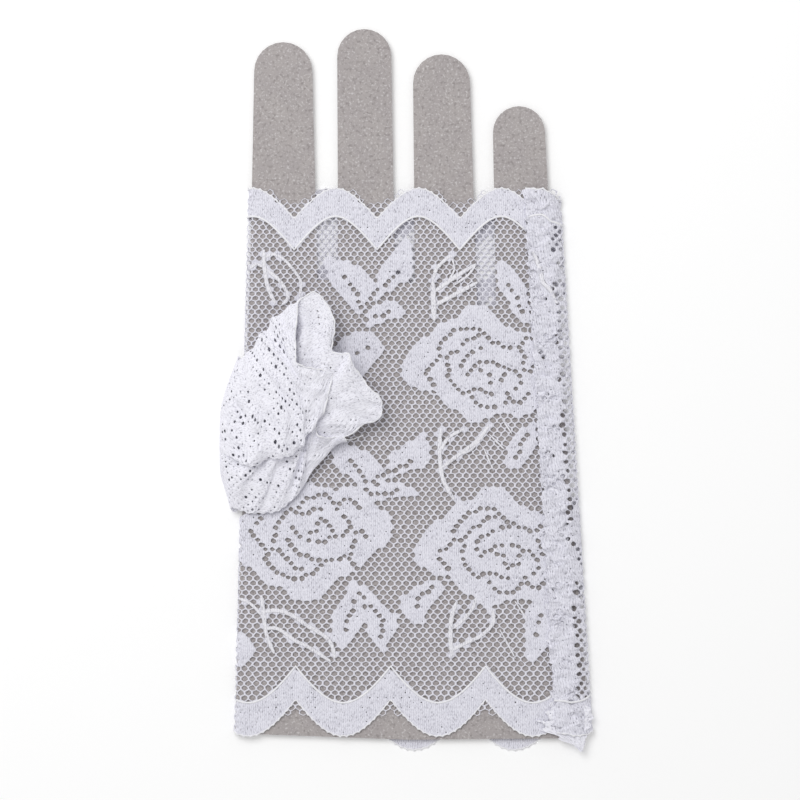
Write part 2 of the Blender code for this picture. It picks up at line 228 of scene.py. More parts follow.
# Stems and grass blades, worked as flat ribbons over the net: their widths and paths
STEMS = [
    (1.1, [(-46, 45), (-45.8, 39.5), (-44.7, 33), (-42.2, 27.6)]),
    (0.8, [(-45.4, 42.4), (-42.8, 43.4), (-39.5, 41.7), (-36, 37.8), (-34.1, 34.2), (-34.6, 29.6)]),
    (1, [(-45.2, 38.6), (-40.8, 34.8), (-38.2, 29.9), (-40.2, 27.2)]),
    (0.8, [(-50.6, 38.8), (-48.4, 40.2), (-45.8, 39.2)]),
    (1.4, [(8.1, 35.2), (8.3, 29), (8.6, 22)]),
    (0.9, [(8.1, 35), (9.6, 39.2), (14, 43.2)]),
    (1.1, [(8.3, 31.2), (14.2, 35.4), (22, 40.4)]),
    (1.1, [(8.5, 27), (14.2, 30), (22.6, 34.6)]),
    (0.5, [(14, 43), (15, 38.6), (12.6, 34.4)]),
    (0.6, [(22, 40.4), (19.6, 37), (15, 33.6)]),
    (1.2, [(10.8, -12.2), (10.3, -18.2), (11.2, -28), (15, -35.2)]),
    (0.9, [(10.5, -20), (13, -15.4), (18.6, -12.2)]),
    (1.1, [(10.8, -25), (16.8, -20.4), (22.4, -16.2), (26.1, -11.4)]),
    (0.7, [(16.8, -20.4), (20.2, -19.2), (24.4, -14.6)]),
    (0.5, [(30.3, -9.3), (33.5, -14.1)]),
    (0.5, [(26.1, -14.1), (31.2, -19.2)]),
    (0.5, [(24.2, -18.2), (27.6, -25.9)]),
    (1.2, [(15.8, -67.6), (14.1, -73), (13.8, -79), (14.2, -85.4)]),
    (1, [(14, -83.4), (18.2, -81.2), (23.6, -78.6), (27.4, -74.6), (27.2, -70.6)]),
    (0.9, [(14, -76.6), (17.4, -74), (20.8, -70), (21.8, -66.6)]),
    (0.5, [(34.4, -67.6), (38.5, -73.8)]),
    (0.5, [(29.5, -76.6), (34.6, -86)]),
    (1.1, [(-46.8, -65.8), (-46.2, -70), (-45.1, -78.4), (-42.6, -84.4)]),
    (1.1, [(-45.8, -71), (-42, -70.6), (-37.6, -71.8), (-32.4, -75.2), (-25.2, -80),
           (-23.2, -86)]),
    (1, [(-46, -76.4), (-41.4, -76.5), (-36, -80.2), (-31.5, -82.4), (-24.4, -87)]),
    (0.8, [(-54.2, -66.6), (-50, -68.6), (-46, -73)]),
]
# The spray comes again lower down, from another foot, stretched and turned
SPRAY_FOOT, SECOND_FOOT = (-15.2, 24.6), (-13.6, -31.6)
SECOND_STRETCH, SECOND_TURN = (1.12, 0.80), math.radians(-6.0)
STEM_CLOSED = 0.8  # cells are closed under stems at least this wide

BAND = ((-8.8, -9.8), (10.5, 10.5))  # the border's width at a lobe and a notch, fingers and wrist
LOBE_ROUND = (0.6, 0.9)  # how round a lobe is; its notches are sharp
FINGER_LOBE, FINGER_NOTCH = 64.4, 54.7  # heights of the border's outer edge
WRIST_LOBE, WRIST_NOTCH = -110.6, -98.9
FINGER_NET, WRIST_NET = 5.4, 3.6  # bits of net left standing in the notches
FLANK, FLANK_HIGH = 2.2, 1.6 * FINGER_NET  # and along the notches' sides: their width and height
HOME_X = (-100, 130)  # the stretch of flat lace that the pattern is drawn on
LACE_X = (-200, 60)  # the stretch that the hand lace is cut from
SPECK_DEPTH = 0.5  # pinholes lie this deep inside a motif
EYELET_STEP = 1.8  # from one eyelet in a row to the next
NEAR_STEM, NEAR_EYELET = 0.45, 2.4  # squares of how near a stem or an eyelet changes a cell
EYELET_OFF = 0.42  # how far an eyelet may lie from the middle of its cell


def moved_spray(points):
    out = []
    for x, y in points:
        dx = (x - SPRAY_FOOT[0]) * SECOND_STRETCH[0]
        dy = (y - SPRAY_FOOT[1]) * SECOND_STRETCH[1]
        out.append((SECOND_FOOT[0] + dx * math.cos(SECOND_TURN) - dy * math.sin(SECOND_TURN),
                    SECOND_FOOT[1] + dx * math.sin(SECOND_TURN) + dy * math.cos(SECOND_TURN)))
    return out


def border_curve(x, lobe, notch, end):
    """Height of a scalloped line whose lobes are round and whose notches are sharp."""
    across = 2 * np.abs(((x - LOBE_X[end]) / PITCH[end] + 0.5) % 1.0 - 0.5)
    soft = LOBE_ROUND[end]
    fall = (np.hypot(across, soft) - soft) / (np.hypot(1.0, soft) - soft)
    return lobe + (notch - lobe) * fall


def border_line(end, inner, first, last):
    """A border's outer or inner edge as points, with the tip of each lobe and notch among them."""
    lobe, notch = ((FINGER_LOBE, FINGER_NOTCH), (WRIST_LOBE, WRIST_NOTCH))[end]
    shift = BAND[end] if inner else (0.0, 0.0)
    step = PITCH[end] / 24
    xs = LOBE_X[end] + step * np.arange(round((first - LOBE_X[end]) / step),
                                        round((last - LOBE_X[end]) / step) + 1)
    ys = border_curve(xs, lobe + shift[0], notch + shift[1], end)
    return np.stack([xs, ys], -1)


def motif_shapes():
    """Roses and leaves as closed outlines, and their rows of eyelets."""
    shapes, eyelets = [], []
    for x, y, sx, sy in ROSES:
        rose = [[(x + px * sx, y + py * sy) for px, py in line] for line in [ROSE, *ROSE_EYELETS]]
        shapes.append(smooth(rose[0]))
        eyelets += [smooth(line, False) for line in rose[1:]]
    for outline, rib in LEAVES + SPRAY + [(moved_spray(a), moved_spray(b)) for a, b in SPRAY]:
        shapes.append(smooth(outline))
        if rib:
            eyelets.append(smooth(rib, False))
    return shapes, eyelets


def border_shapes():
    return [np.concatenate([border_line(end, False, *HOME_X), border_line(end, True, *HOME_X)[::-1]])
            for end in (0, 1)]


def depth_inside(points, outline):
    """Distance into a closed outline, negative outside, with the nearest point on its edge."""
    depth = np.full(len(points), -1e3)
    nearest = points.copy()
    low, high = outline.min(0) - 3, outline.max(0) + 3
    near = np.flatnonzero(((points > low) & (points < high)).all(1))
    a = outline
    b = np.roll(outline, -1, 0)
    ab = b - a
    for chunk in np.array_split(near, max(1, len(near) // 3000)):
        p = points[chunk][:, None, :]
        t = np.clip(((p - a) * ab).sum(-1) / np.maximum((ab * ab).sum(-1), 1e-12), 0, 1)
        foot = a + t[..., None] * ab
        away = ((p - foot) ** 2).sum(-1)
        best = away.argmin(1)
        rows = np.arange(len(chunk))
        crosses = (a[:, 1] > p[..., 1]) != (b[:, 1] > p[..., 1])
        with np.errstate(divide="ignore", invalid="ignore"):
            at = a[:, 0] + (p[..., 1] - a[:, 1]) / (b[:, 1] - a[:, 1]) * ab[:, 0]
        inside = (crosses & (p[..., 0] < at)).sum(1) % 2 == 1
        distance = np.sqrt(away[rows, best])
        depth[chunk] = np.where(inside, distance, -distance)
        nearest[chunk] = foot[rows, best]
    return depth, nearest


def deepest(points, shapes):
    """The same, for whichever shape each point lies deepest in."""
    depth = np.full(len(points), -1e3)
    nearest = points.copy()
    for shape in shapes:
        d, n = depth_inside(points, shape)
        more = d > depth
        depth[more] = d[more]
        nearest[more] = n[more]
    return depth, nearest


MOTIFS, EYELET_LINES = motif_shapes()
BORDERS = border_shapes()
OUTSIDE, NET, CLOSED, EYELET, SPECK = range(5)  # what a cell may be


def home(uv):
    """The place in the pattern's first repeat of cells and rows from any repeat."""
    return flat_place((uv[:, 0] - FIRST_CELL) % REPEAT + FIRST_CELL, uv[:, 1])


def beyond_border(p):
    """How far flat points lie outside the borders, and whether net is left standing there."""
    up = p[:, 1] - border_curve(p[:, 0], FINGER_LOBE, FINGER_NOTCH, 0)
    down = border_curve(p[:, 0], WRIST_LOBE, WRIST_NOTCH, 1) - p[:, 1]
    beyond = np.maximum(up, down)
    height = np.maximum(p[:, 1] - FINGER_NOTCH, (WRIST_NOTCH - p[:, 1]) * FINGER_NET / WRIST_NET)
    return beyond, (height < FINGER_NET) | ((beyond < FLANK) & (height < FLANK_HIGH))


def hex_lattice(first, last, top, bottom, loop=False):
    """Cells and their shared corners. Each cell has a corner above it and one below it, and
    takes its other four from the cells diagonally above and below."""
    rows = np.arange(top - 1, bottom + 2)
    columns = np.arange(first, last) if loop else np.arange(first - 1, last + 1)
    rr, cc = np.meshgrid(rows, columns, indexing="ij")
    x = cc + 0.5 * (rr % 2)
    h, w = rr.shape
    index = np.arange(h * w).reshape(h, w)
    i, j = np.meshgrid(np.arange(1, h - 1), np.arange(0 if loop else 1, w if loop else w - 1),
                       indexing="ij")
    right, left = (j + rr[i, j] % 2) % w, (j + rr[i, j] % 2 - 1) % w
    below, above = index, index + h * w  # a cell's own upper corner, and its lower one
    corners = np.stack([below[i, j], above[i - 1, right], below[i + 1, right], above[i, j],
                        below[i + 1, left], above[i - 1, left]], -1).reshape(-1, 6)
    centres = np.stack([x[i, j], rr[i, j]], -1).reshape(-1, 2).astype(float)
    up = np.stack([x, rr - 0.73], -1).reshape(-1, 2)
    low = np.stack([x, rr + 0.73], -1).reshape(-1, 2)
    return centres, np.concatenate([up, low]).astype(float), corners


def distances(line):
    """How far along a line each of its points is."""
    return np.concatenate([[0], np.cumsum(np.linalg.norm(np.diff(line, axis=0), axis=1))])


def points_at(line, s):
    """Points at the given distances along a line."""
    return np.stack([np.interp(s, distances(line), line[:, i]) for i in (0, 1)], -1)


def sort_cells(flat, rng):
    """What each cell is, and how far an eyelet is drawn from the middle of its cell."""
    drawn = np.zeros(flat.shape)
    kind = np.full(len(flat), NET)
    depth, _ = deepest(flat, MOTIFS + BORDERS)
    kind[depth > 0] = CLOSED
    kind[(depth > SPECK_DEPTH) & (rng.random(len(kind)) < SPECKLED)] = SPECK
    for width, points in STEMS:
        if width >= STEM_CLOSED:
            path = smooth(points, False)
            away = ((flat[:, None] - path) ** 2).sum(-1).min(1)
            kind[away < NEAR_STEM] = CLOSED
    for line in EYELET_LINES:
        length = distances(line)[-1]
        for at in points_at(line, np.linspace(0, length, max(2, round(length / EYELET_STEP)))):
            away = ((flat - at) ** 2).sum(1)
            best = away.argmin()
            if away[best] < NEAR_EYELET and kind[best] != EYELET:
                kind[best] = EYELET
                drawn[best] = (at - flat[best]) * min(1.0, EYELET_OFF / max(away[best] ** 0.5, 0.01))
    beyond, standing = beyond_border(flat)
    kind[(beyond > 0.0) & (kind == NET) & ~standing] = OUTSIDE
    return kind, drawn


# How large holes are, as a share of their cells, and how far the net's are from round
NET_SHARE, EYELET_SHARE, SPECK_SHARE = (0.745, 0.815), (0.6, 0.86), (0.07, 0.20)
NET_SQUARE, ROUND = 0.75, 0.4
UNEVEN = 0.11  # how unevenly corners lie
DRAW_REACH = 1.3  # corners this near a motif's outline are drawn onto it
RIM_DRAWN, INNER_DRAWN = 0.95, 0.45  # by these shares of the way
EDGE_FILL = 0.75  # how closed the weave looks at a motif's edge


def cross(a, b):
    return a[:, 0] * b[:, 1] - a[:, 1] * b[:, 0]


def lace_mesh(name, yarn, cells, sorted_cells, home_of, flat_of, place, rng, span=None,
              eyelet_share=EYELET_SHARE):
    """A piece of lace as a closed mesh. home_of and flat_of take cells and rows to the pattern
    and to the piece laid flat, and place takes flat points and heights to space."""
    centres, corner_uv, corners = cells
    kind, drawn = sorted_cells
    live = kind != OUTSIDE
    centres, corners, kind, drawn = centres[live], corners[live], kind[live], drawn[live]
    used, inverse = np.unique(corners, return_inverse=True)
    corners = inverse.reshape(-1, 6)
    uv = corner_uv[used]
    drawn_at, flat = home_of(uv), flat_of(uv)
    # corners between a closed cell and net are drawn onto the motif's outline
    solid = kind != NET
    touched = np.zeros((len(used), 2), bool)
    touched[corners[solid].ravel(), 0] = True
    touched[corners[~solid].ravel(), 1] = True
    rim = np.zeros(len(used), int)
    np.add.at(rim, corners.ravel(), 1)
    edge = touched.all(1) | ((rim < 3) & touched[:, 0])
    depth, nearest = deepest(drawn_at, MOTIFS + BORDERS)
    edge &= np.abs(depth) < DRAW_REACH
    pull = np.where(rim < 3, RIM_DRAWN, INNER_DRAWN)[:, None]
    flat = flat + rng.normal(0, UNEVEN, flat.shape)
    flat[edge] += ((nearest - drawn_at) * pull)[edge]
    fill = np.where(touched[:, 0] & ~edge, 1.0, np.where(edge, EDGE_FILL, 0.0))
    high = NET_HALF + (PLY_HALF - NET_HALF) * fill
    top, low = place(flat, high), place(flat, -high)

    n = len(used)
    middle = flat_of(centres)
    to_corner = flat[corners] - middle[:, None]
    if span:
        to_corner[..., 0] -= span * np.round(to_corner[..., 0] / span)
    core = (top + low)[corners].mean(1) / 2
    spoke = (top + low)[corners] / 2 - core[:, None]
    spots, flats, fills, faces = [top, low], [flat, flat], [fill, fill], []
    total = 2 * n

    # an eyelet's place in its cell, from two of the cell's corners
    a, b = to_corner[:, 0], to_corner[:, 1]
    first, second = (np.clip(area / cross(a, b), -0.4, 0.4)[:, None]
                     for area in (cross(drawn, b), cross(a, drawn)))
    eye = core + first * spoke[:, 0] + second * spoke[:, 1]

    def hole(which, shares, square=ROUND):
        """The inner edge of some openings: twelve points, rounder than the cell itself."""
        nonlocal total
        share = rng.uniform(*shares, len(which))[:, None, None]
        rings = []
        for arms in (spoke[which], to_corner[which]):
            both = np.stack([arms, (arms + np.roll(arms, -1, 1)) / 2], 2)
            both = both.reshape(len(which), 12, arms.shape[-1])
            reach = np.linalg.norm(both, axis=2, keepdims=True)
            even = square + (1 - square) * reach.mean(1, keepdims=True) / np.maximum(reach, 1e-6)
            rings.append(both * even * share)
        ids = total + np.arange(len(which) * 12).reshape(-1, 12)
        total += ids.size
        spots.append((eye[which][:, None] + rings[0]).reshape(-1, 3))
        flats.append((middle[which][:, None] + rings[1]).reshape(-1, 2))
        fills.append(np.repeat(np.where(kind[which] == NET, 0.0, 1.0), 12))
        c = corners[which]
        for j in range(6):
            p, m, q = ids[:, 2 * j], ids[:, 2 * j + 1], ids[:, (2 * j + 2) % 12]
            a, b = c[:, j], c[:, (j + 1) % 6]
            for s in (0, n):
                for tri in ((a + s, p, m), (a + s, m, b + s), (b + s, m, q)):
                    faces.append(np.stack(tri[::-1] if s else tri, -1))

    hole(np.flatnonzero(kind == NET), NET_SHARE, NET_SQUARE)
    hole(np.flatnonzero(kind == EYELET), eyelet_share)
    hole(np.flatnonzero(kind == SPECK), SPECK_SHARE)
    closed = np.flatnonzero(kind == CLOSED)
    c = corners[closed]
    ids = total + np.arange(len(closed))
    for side, s in ((top, 0), (low, n)):
        spots.append(side[c].mean(1))
        flats.append(middle[closed])
        fills.append(np.ones(len(closed)))
        for j in range(6):
            a, b = c[:, j] + s, c[:, (j + 1) % 6] + s
            hub = ids + (len(closed) if s else 0)
            faces.append(np.stack([a, b, hub] if s else [b, a, hub], -1))

    # close the outer rim between the upper and the lower corners
    pairs = np.concatenate([corners[:, [j, (j + 1) % 6]] for j in range(6)])
    a, b = pairs[~np.isin(pairs @ (n, 1), pairs @ (1, n))].T
    faces.append(np.stack([a, b, b + n], -1))
    faces.append(np.stack([a, b + n, a + n], -1))
    return new_mesh(name, yarn, *(np.concatenate(a) for a in (spots, faces, flats, fills)))


def new_mesh(name, yarn, spots, tris, flat, fill, rounded=False):
    """An object of triangles between spots in mm. flat maps the weave, and fill says how closed
    it is."""
    mesh = bpy.data.meshes.new(name)
    mesh.materials.append(yarn)
    mesh.from_pydata(spots * MM, [], tris)
    mesh.validate()
    weave = mesh.uv_layers.new(name="weave")
    loops = np.empty(len(mesh.loops), np.int32)
    mesh.loops.foreach_get("vertex_index", loops)
    weave.data.foreach_set("uv", (flat[loops] / 10.0).astype(np.float32).ravel())
    mesh.attributes.new("fill", "FLOAT", "POINT").data.foreach_set("value", fill.astype(np.float32))
    obj = bpy.data.objects.new(name, mesh)
    bpy.context.collection.objects.link(obj)
    mesh.polygons.foreach_set("use_smooth", np.full(len(mesh.polygons), rounded))
    mesh.update()
    return obj


def tubes(name, yarn, runs, sides=6):
    """Closed cords. Each run is its points, radii, height over width, and whether it is a loop."""
    spots, tris, flat, total = [], [], [], 0
    for path, radius, squash, loop in runs:
        path = np.asarray(path, float)
        m = len(path)
        ahead = np.roll(path, -1, 0) - np.roll(path, 1, 0)
        if not loop:
            ahead[0], ahead[-1] = path[1] - path[0], path[-1] - path[-2]
        ahead /= np.maximum(np.linalg.norm(ahead, axis=1, keepdims=True), 1e-9)
        side = np.cross(ahead, (0.0, 0.0, 1.0))
        weak = np.linalg.norm(side, axis=1) < 1e-3
        side[weak] = (1.0, 0.0, 0.0)
        side /= np.linalg.norm(side, axis=1, keepdims=True)
        over = np.cross(side, ahead)
        radius = np.broadcast_to(np.asarray(radius, float), (m,))
        turn = 2 * np.pi * np.arange(sides) / sides
        ring = (path[:, None] + radius[:, None, None] * (
            side[:, None] * np.cos(turn)[None, :, None]
            + over[:, None] * np.sin(turn)[None, :, None] * squash))
        spots.append(ring.reshape(-1, 3))
        flat.append(ring[..., :2].reshape(-1, 2))
        here = sides * np.arange(m if loop else m - 1)[:, None]
        j = np.arange(sides)
        k, ahead = (j + 1) % sides, (here + sides) % (m * sides)
        walls = np.stack([here + j, here + k, ahead + k, here + j, ahead + k, ahead + j], -1)
        tris.append(total + walls.reshape(-1, 3))
        if not loop:
            j, last = j[1:-1], (m - 1) * sides
            caps = np.stack([0 * j, j + 1, j, last + 0 * j, last + j, last + j + 1], -1)
            tris.append(total + caps.reshape(-1, 3))
        total += m * sides
    return new_mesh(name, yarn, *(np.concatenate(a) for a in (spots, tris, flat)), np.ones(total), True)


# painted shade for the lace yarns: in the gaps between stitches, where the grey card also shows through,
# and in small specks darker than the card, standing in for pinholes with shade below them
STITCH_GAP_SHADE, PINHOLE_SHADE_GREY = (0.40, 0.39, 0.44), (0.3, 0.29, 0.34)


def make_lace_yarn(name, net, thin, thick, flecks=0.85):
    """White nylon: finely ribbed where cells are closed, plain thread in the net. The gaps between
    stitches and small specks get painted shade; flecks says how strong the specks are.
    """
    mat, tree, shader = new_material(name, 0.75)
    weave = add_node(tree, "ShaderNodeUVMap", uv_map="weave").outputs[0]
    fill = add_node(tree, "ShaderNodeAttribute", attribute_name="fill").outputs["Fac"]
    ribs = add_node(tree, "ShaderNodeTexWave", [(0, weave)], wave_type="BANDS", bands_direction="X",
                    Scale=4.6, Distortion=2.6, Detail=3.0, Detail_Scale=4.0)
    tall = add_node(tree, "ShaderNodeMapping", [("Vector", weave)], Scale=(2.0, 0.75, 1.0)).outputs[0]
    stitch = noise(tree, tall, 17.0, 4.0)
    cloud = noise(tree, weave, 2.2, 2.0)
    # ribs and stitches, with painted shade in the gaps between the stitches
    colour = layered(tree, thin, [(ribs.outputs[0], 0.0, 1.0, 0.25, 0.75, thick),
                                  (stitch, 0.36, 0.50, 0.55, 0.0, STITCH_GAP_SHADE),
                                  (stitch, 0.54, 0.66, 0.0, 0.6, thick)])
    # small dark specks of painted shade, standing in for pinholes with shade below them
    fleck = add_node(tree, "ShaderNodeTexVoronoi", [(0, tall)], Scale=9.5)
    lone = add_node(tree, "ShaderNodeSeparateColor", [(0, fleck.outputs["Color"])]).outputs[0]
    near = stretch(tree, fleck.outputs["Distance"], 0.16, 0.38, flecks, 0.0)
    some = add_node(tree, "ShaderNodeMath", [(0, near), (1, stretch(tree, lone, 0.35, 0.6))],
                    operation="MULTIPLY")
    colour = two_colours(tree, some.outputs[0], colour, PINHOLE_SHADE_GREY)
    colour = layered(tree, colour, [(cloud, 0.35, 0.65, 0.0, 0.3, thick)])
    colour = two_colours(tree, fill, net, colour)
    tree.links.new(colour, shader.inputs["Base Color"])
    shader.inputs["Sheen Weight"].default_value = 0.15
    shader.inputs["Specular IOR Level"].default_value = 0.3
    height = add_node(tree, "ShaderNodeMath", [(0, stitch), (1, fill)], operation="MULTIPLY")
    add_bump(tree, shader, height.outputs[0], 0.5, 0.0002)
    return mat


def make_cord_yarn():
    """The brighter, tightly twisted nylon of edge cords and threads."""
    mat, tree, shader = new_material("cord_yarn", 0.6)
    place = tree.nodes.new("ShaderNodeTexCoord").outputs["Object"]
    twist = noise(tree, place, 1600.0, 2.0)
    colour = layered(tree, (0.84, 0.835, 0.88), [(twist, 0.35, 0.65, 0.0, 1.0, (0.95, 0.945, 0.97))])
    tree.links.new(colour, shader.inputs["Base Color"])
    shader.inputs["Sheen Weight"].default_value = 0.1
    add_bump(tree, shader, twist, 0.5, 0.0001)
    return mat


LACE_YARN = make_lace_yarn("lace_yarn", (0.80, 0.795, 0.87), (0.58, 0.575, 0.665), (0.93, 0.925, 1.0))
# where the lace lies bunched in several plies, a lighter copy of the same yarn: painted light that
# stands in for the light the plies below throw back, and lifts the shade where the lace lies tilted
LIGHTENED_PLY_YARN = make_lace_yarn("bunched_lace_painted_light", (0.88, 0.875, 0.93), (0.86, 0.855, 0.95),
                              (0.95, 0.945, 1.0), 0.45)
STEM_YARN = make_lace_yarn("stem_yarn", (0.8, 0.8, 0.85), (0.72, 0.715, 0.78), (0.97, 0.96, 1.0))
CORD_YARN = make_cord_yarn()

# ---------------- hand lace
# The real piece is one cut of the galloon, wrapped once round the card: over the back of the
# hand, round the thumb side, under the palm, round the little finger side and back to the seam.
LEFT_FOLD = (-49.9, -54.2)  # x where it starts to turn, at the fingers and at the wrist
RIGHT_FOLD = (48.0, 57.8)
SEAM = (37.6, 47.0)  # x of the side seam
ENDS_Y = (58.6, -103.7)  # where those are measured
FOLD_R = 1.2  # radius of the lace as it turns round the card's edge
FOLD_ARC = math.pi * FOLD_R
BACK_MID, PALM_MID = 2.72, 0.3  # middle of the lace's thickness on each side
FOLD_MID = (BACK_MID + PALM_MID) / 2
PALM_DROP = 4.6  # the palm lies this much nearer the wrist,
DROP_FROM, DROP_OVER = 30.0, 18.0  # from here past the left fold, over this length
SEAM_RISE = 1.35  # how far the lace rides up over the allowance
SEAM_BED = 8.2  # width of what lies under it
LOOSE = 0.55  # height of the gathered lace's ripples
HOLE_MID, HOLE_HALF, HOLE_DEEP = -14.0, 25.5, 6.3  # the thumb hole, a half oval in each side
RETURN_SPECKLED = 0.4  # share of the return's closed cells with a pinhole in them
LAID = 0.16  # height of stems over the middle of the lace
STEM_WIDE, STEM_FLAT = 0.78, 0.1  # a ribbon's half width as a share of its stem's, and its flatness
OUTLINE_R, OUTLINE_FLAT = 0.36, 0.6  # the bright cord on the borders' inner edges
REPEAT_WIDE = 4 * 28.0  # the stems come again this far to the left


def line_x(ends, y):
    return ends[0] + (ends[1] - ends[0]) * (ENDS_Y[0] - y) / (ENDS_Y[0] - ENDS_Y[1])


def ease(t):
    t = np.clip(t, 0, 1)
    return t * t * (3 - 2 * t)


def ripple(x, y, length, seed):
    """Smooth random ripples between -1 and 1, about the given length apart."""
    rng = np.random.default_rng(seed)
    out = np.zeros(np.shape(x))
    for _ in range(7):
        turn, phase = rng.uniform(0, 2 * math.pi, 2)
        k = 2 * math.pi / (length * rng.uniform(0.75, 1.5))
        out = out + np.sin(k * (x * math.cos(turn) + y * math.sin(turn)) + phase)
    return out / 3.2


def wrap_hand(flat, height):
    """Wraps the flat lace round the card. Left of the left fold it goes on under the palm."""
    x, y = flat[:, 0], flat[:, 1]
    left, right, seam = (line_x(ends, y) for ends in (LEFT_FOLD, RIGHT_FOLD, SEAM))
    width, reach = right - left, right - seam
    s = left - x
    turn_left = np.clip(s / FOLD_R, 0, math.pi)
    turn_right = np.clip((s - width + FOLD_ARC / 2) / FOLD_R, 0, math.pi)
    palm = np.clip((s - FOLD_ARC) / (width - 1.5 * FOLD_ARC), 0, 1) * width
    back = np.maximum(s - width - FOLD_ARC / 2, 0) / (reach - FOLD_ARC / 2) * reach
    # near the seam the lace is gathered up over the allowance below it
    px = np.where(s < 0, x, left + palm - back)
    from_seam = px - seam
    under = np.where(s < 0, 0.4, 2.6)  # the near end stays low, the far end lies over it
    bed = ease((from_seam + under) / 2.8) * (1 - ease((from_seam - SEAM_BED) / 2.4))
    bed = np.where((s < 0) | (turn_right >= math.pi), bed, 0.0)
    radius = FOLD_R + height
    px = px - np.sin(turn_left) * radius + np.sin(turn_right) * radius
    loose = bed * ease(from_seam / 2.5)
    px = px + loose * LOOSE * ripple(px, y, 5.0, 11)
    flip = np.where(turn_right > 0, -np.cos(turn_right), np.cos(turn_left))
    pz = FOLD_MID + flip * (BACK_MID - FOLD_MID + height)
    pz = pz + bed * (SEAM_RISE + LOOSE * ripple(px, y * 1.3, 4.2, 12))
    drop = PALM_DROP * ease((s - DROP_FROM) / DROP_OVER) * (1 - ease((s - width + FOLD_ARC) / FOLD_ARC))
    py = y - drop + loose * 0.7 * ripple(px, y, 6.0, 13)
    return np.stack([px, py, pz], -1)


def hand_piece(name, first, last, starts, ends, seed, eyelet_share=EYELET_SHARE):
    """The hand lace from one cell to another, between two lines that give x for each y on the
    flat lace. Its two ends, at the seam, are cut off straight through the cells."""
    rng = np.random.default_rng(seed)
    cut_start, cut_end = starts is far_seam, ends is near_seam
    cells = hex_lattice(first, last, -6, ROWS + 6)
    centres = cells[0]
    kind, drawn = sort_cells(home(centres), rng)
    x, y = flat_place(*centres.T).T
    kind[(x < starts(y) - cut_start) | (x > ends(y) + cut_end)] = OUTSIDE
    past_fold = 2 * line_x(LEFT_FOLD, y) - x - line_x(RIGHT_FOLD, y)
    from_seam = line_x(RIGHT_FOLD, y) - past_fold - line_x(SEAM, y)
    returning = (kind == NET) & (x < right_fold(y))
    kind[returning] = EYELET
    kind[returning & (from_seam < SEAM_BED - 1.5) & (ripple(x, y, 7.0, 24) > -0.45)] = CLOSED
    speckled = rng.random(len(kind)) < RETURN_SPECKLED
    kind[(kind == CLOSED) & (x < right_fold(y)) & speckled] = SPECK
    across = (y - HOLE_MID) / HOLE_HALF
    fold = line_x(LEFT_FOLD, y)
    deep = HOLE_DEEP * np.sqrt(np.maximum(0, 1 - across**2))
    kind[(deep > 0) & (x < fold + deep) & (x > fold - FOLD_ARC - deep)] = OUTSIDE

    def trimmed(uv):
        flat = flat_place(*uv.T)
        if cut_start:
            flat[:, 0] = np.maximum(flat[:, 0], starts(flat[:, 1]))
        if cut_end:
            flat[:, 0] = np.minimum(flat[:, 0], ends(flat[:, 1]))
        return flat

    return lace_mesh(name, LACE_YARN, cells, (kind, drawn), home, trimmed, wrap_hand, rng,
                     eyelet_share=eyelet_share)


def left_fold(y):
    return line_x(LEFT_FOLD, y) - FOLD_ARC / 2


def right_fold(y):
    return 2 * line_x(LEFT_FOLD, y) - line_x(RIGHT_FOLD, y)


def far_seam(y):
    return right_fold(y) - (line_x(RIGHT_FOLD, y) - line_x(SEAM, y))


def near_seam(y):
    return line_x(SEAM, y) + 0.3


def between(points, starts, ends):
    x, y = points.T
    return (x > starts(y)) & (x < ends(y))


def stem_runs(shift, starts, ends):
    """The stems that lie wholly between two lines, as ribbons on the lace."""
    runs = []
    for width, points in STEMS:
        line = smooth(points, False, 8) + (shift, 0.0)
        if between(line, starts, ends).all():
            steps = np.arange(len(line))
            taper = np.minimum(1, 0.35 + np.minimum(steps, steps[::-1]) / 5)
            taper = taper * (0.85 + 0.15 * np.sin(2.3 * steps))
            path = wrap_hand(line, np.full(len(line), LAID))
            runs.append((path, width * STEM_WIDE * taper, STEM_FLAT, False))
    return runs


def outline_runs(starts, ends):
    """The cords along both borders' inner edges, between two lines."""
    runs = []
    for end in (0, 1):
        line = border_line(end, True, *LACE_X)
        line = line[between(line, starts, ends)]
        if len(line) > 3:
            path = wrap_hand(line, np.full(len(line), LAID + 0.01))
            runs.append((path, OUTLINE_R, OUTLINE_FLAT, False))
    return runs


back_lace = hand_piece("hand_lace_back", -16, 31, left_fold, near_seam, 7)
palm_lace = hand_piece("hand_lace_palm", -60, -12, right_fold, left_fold, 8)
side_lace = hand_piece("hand_lace_side", -69, -54, far_seam, right_fold, 9, (0.48, 0.74))

for lace, starts, ends, shift in (
    (back_lace, left_fold, near_seam, 0.0),
    (palm_lace, right_fold, left_fold, -REPEAT_WIDE),
    (side_lace, far_seam, right_fold, -REPEAT_WIDE),
):
    for yarn, runs in ((STEM_YARN, stem_runs(shift, starts, ends)),
                       (CORD_YARN, outline_runs(starts, ends))):
        if runs:
            both = [lace, tubes(lace.name + "_laid", yarn, runs)]
            with bpy.context.temp_override(active_object=lace, selected_editable_objects=both):
                bpy.ops.object.join()
    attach(lace, "glove")
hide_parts("lace_back_of_hand")
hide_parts("lace_palm")
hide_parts("lace_side_return")

# ---------------- edge cords
# The real galloon is finished along both scalloped edges with a looped cord, knitted in with
# the border, whose loops stand out as small picots.
PICOT = 1.05  # half the length of a picot
PICOT_OUT, PICOT_R = 0.30, 0.30  # how far it stands out, and half the cord's width


def picot_line(end):
    """The edge cord's path and half widths, in quarter picots along the border."""
    line = border_line(end, False, *LACE_X)
    s = np.arange(0, distances(line)[-1], PICOT / 2)
    fine = points_at(line, s)
    wave = np.sin(np.arange(len(s)) * math.pi / 2)
    fine[:, 1] += (PICOT_OUT * np.maximum(0, wave) + 0.05) * (1 if end == 0 else -1)
    return fine, PICOT_R * (1 + 0.25 * wave)


